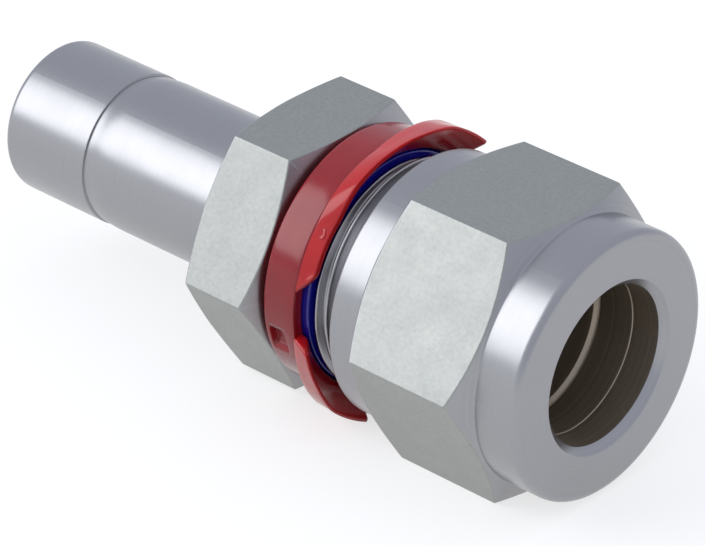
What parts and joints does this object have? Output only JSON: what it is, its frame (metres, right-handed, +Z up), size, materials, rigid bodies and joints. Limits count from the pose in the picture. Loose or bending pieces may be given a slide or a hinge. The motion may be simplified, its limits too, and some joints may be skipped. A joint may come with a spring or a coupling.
{
  "type": "tube reducer fitting",
  "caption": "Straight twin-ferrule compression fitting: a plain tube stub behind a body hexagon, with a hexagon nut screwed over ferrules at the other end and a red indicator ring between.",
  "frame": {"origin": "on the surface that the fitting rests on, under the middle of its length", "axes": "+X along the fitting's axis, out of the nut's tube bore; +Z up, square to the nut's lower flat"},
  "size_m": [0.0572, 0.0256, 0.0226],
  "materials": {
    "body_steel": "fine turned stainless steel, blasted flats",
    "nut_steel": "fine turned stainless steel, satin flats",
    "ferrule_steel": "turned stainless steel",
    "red_plastic": "glossy moulded nylon, red",
    "blue_plastic": "moulded nylon, dark blue"
  },
  "bodies": {
    "reducer": {"reducer_body": "body_steel", "indicator_ring": "red_plastic", "inner_ring": "blue_plastic"},
    "ferrules": {"front_ferrule": "ferrule_steel", "back_ferrule": "ferrule_steel"},
    "nut": {"coupling_nut": "nut_steel"}
  },
  "joints": [
    {"name": "nut_travel", "type": "slide", "parent": "reducer", "child": "ferrules", "axis": [1, 0, 0], "range_m": [0, 0.00954]},
    {"name": "nut_turn", "type": "hinge", "parent": "ferrules", "child": "nut", "pos_m": [0.02, 0, 0.01111], "axis": [1, 0, 0], "range_deg": [0, 2700]}
  ],
  "couplings": [
    {"joint": "nut_travel", "follows": "nut_turn", "m_per_rad": 0.00020213}
  ]
}
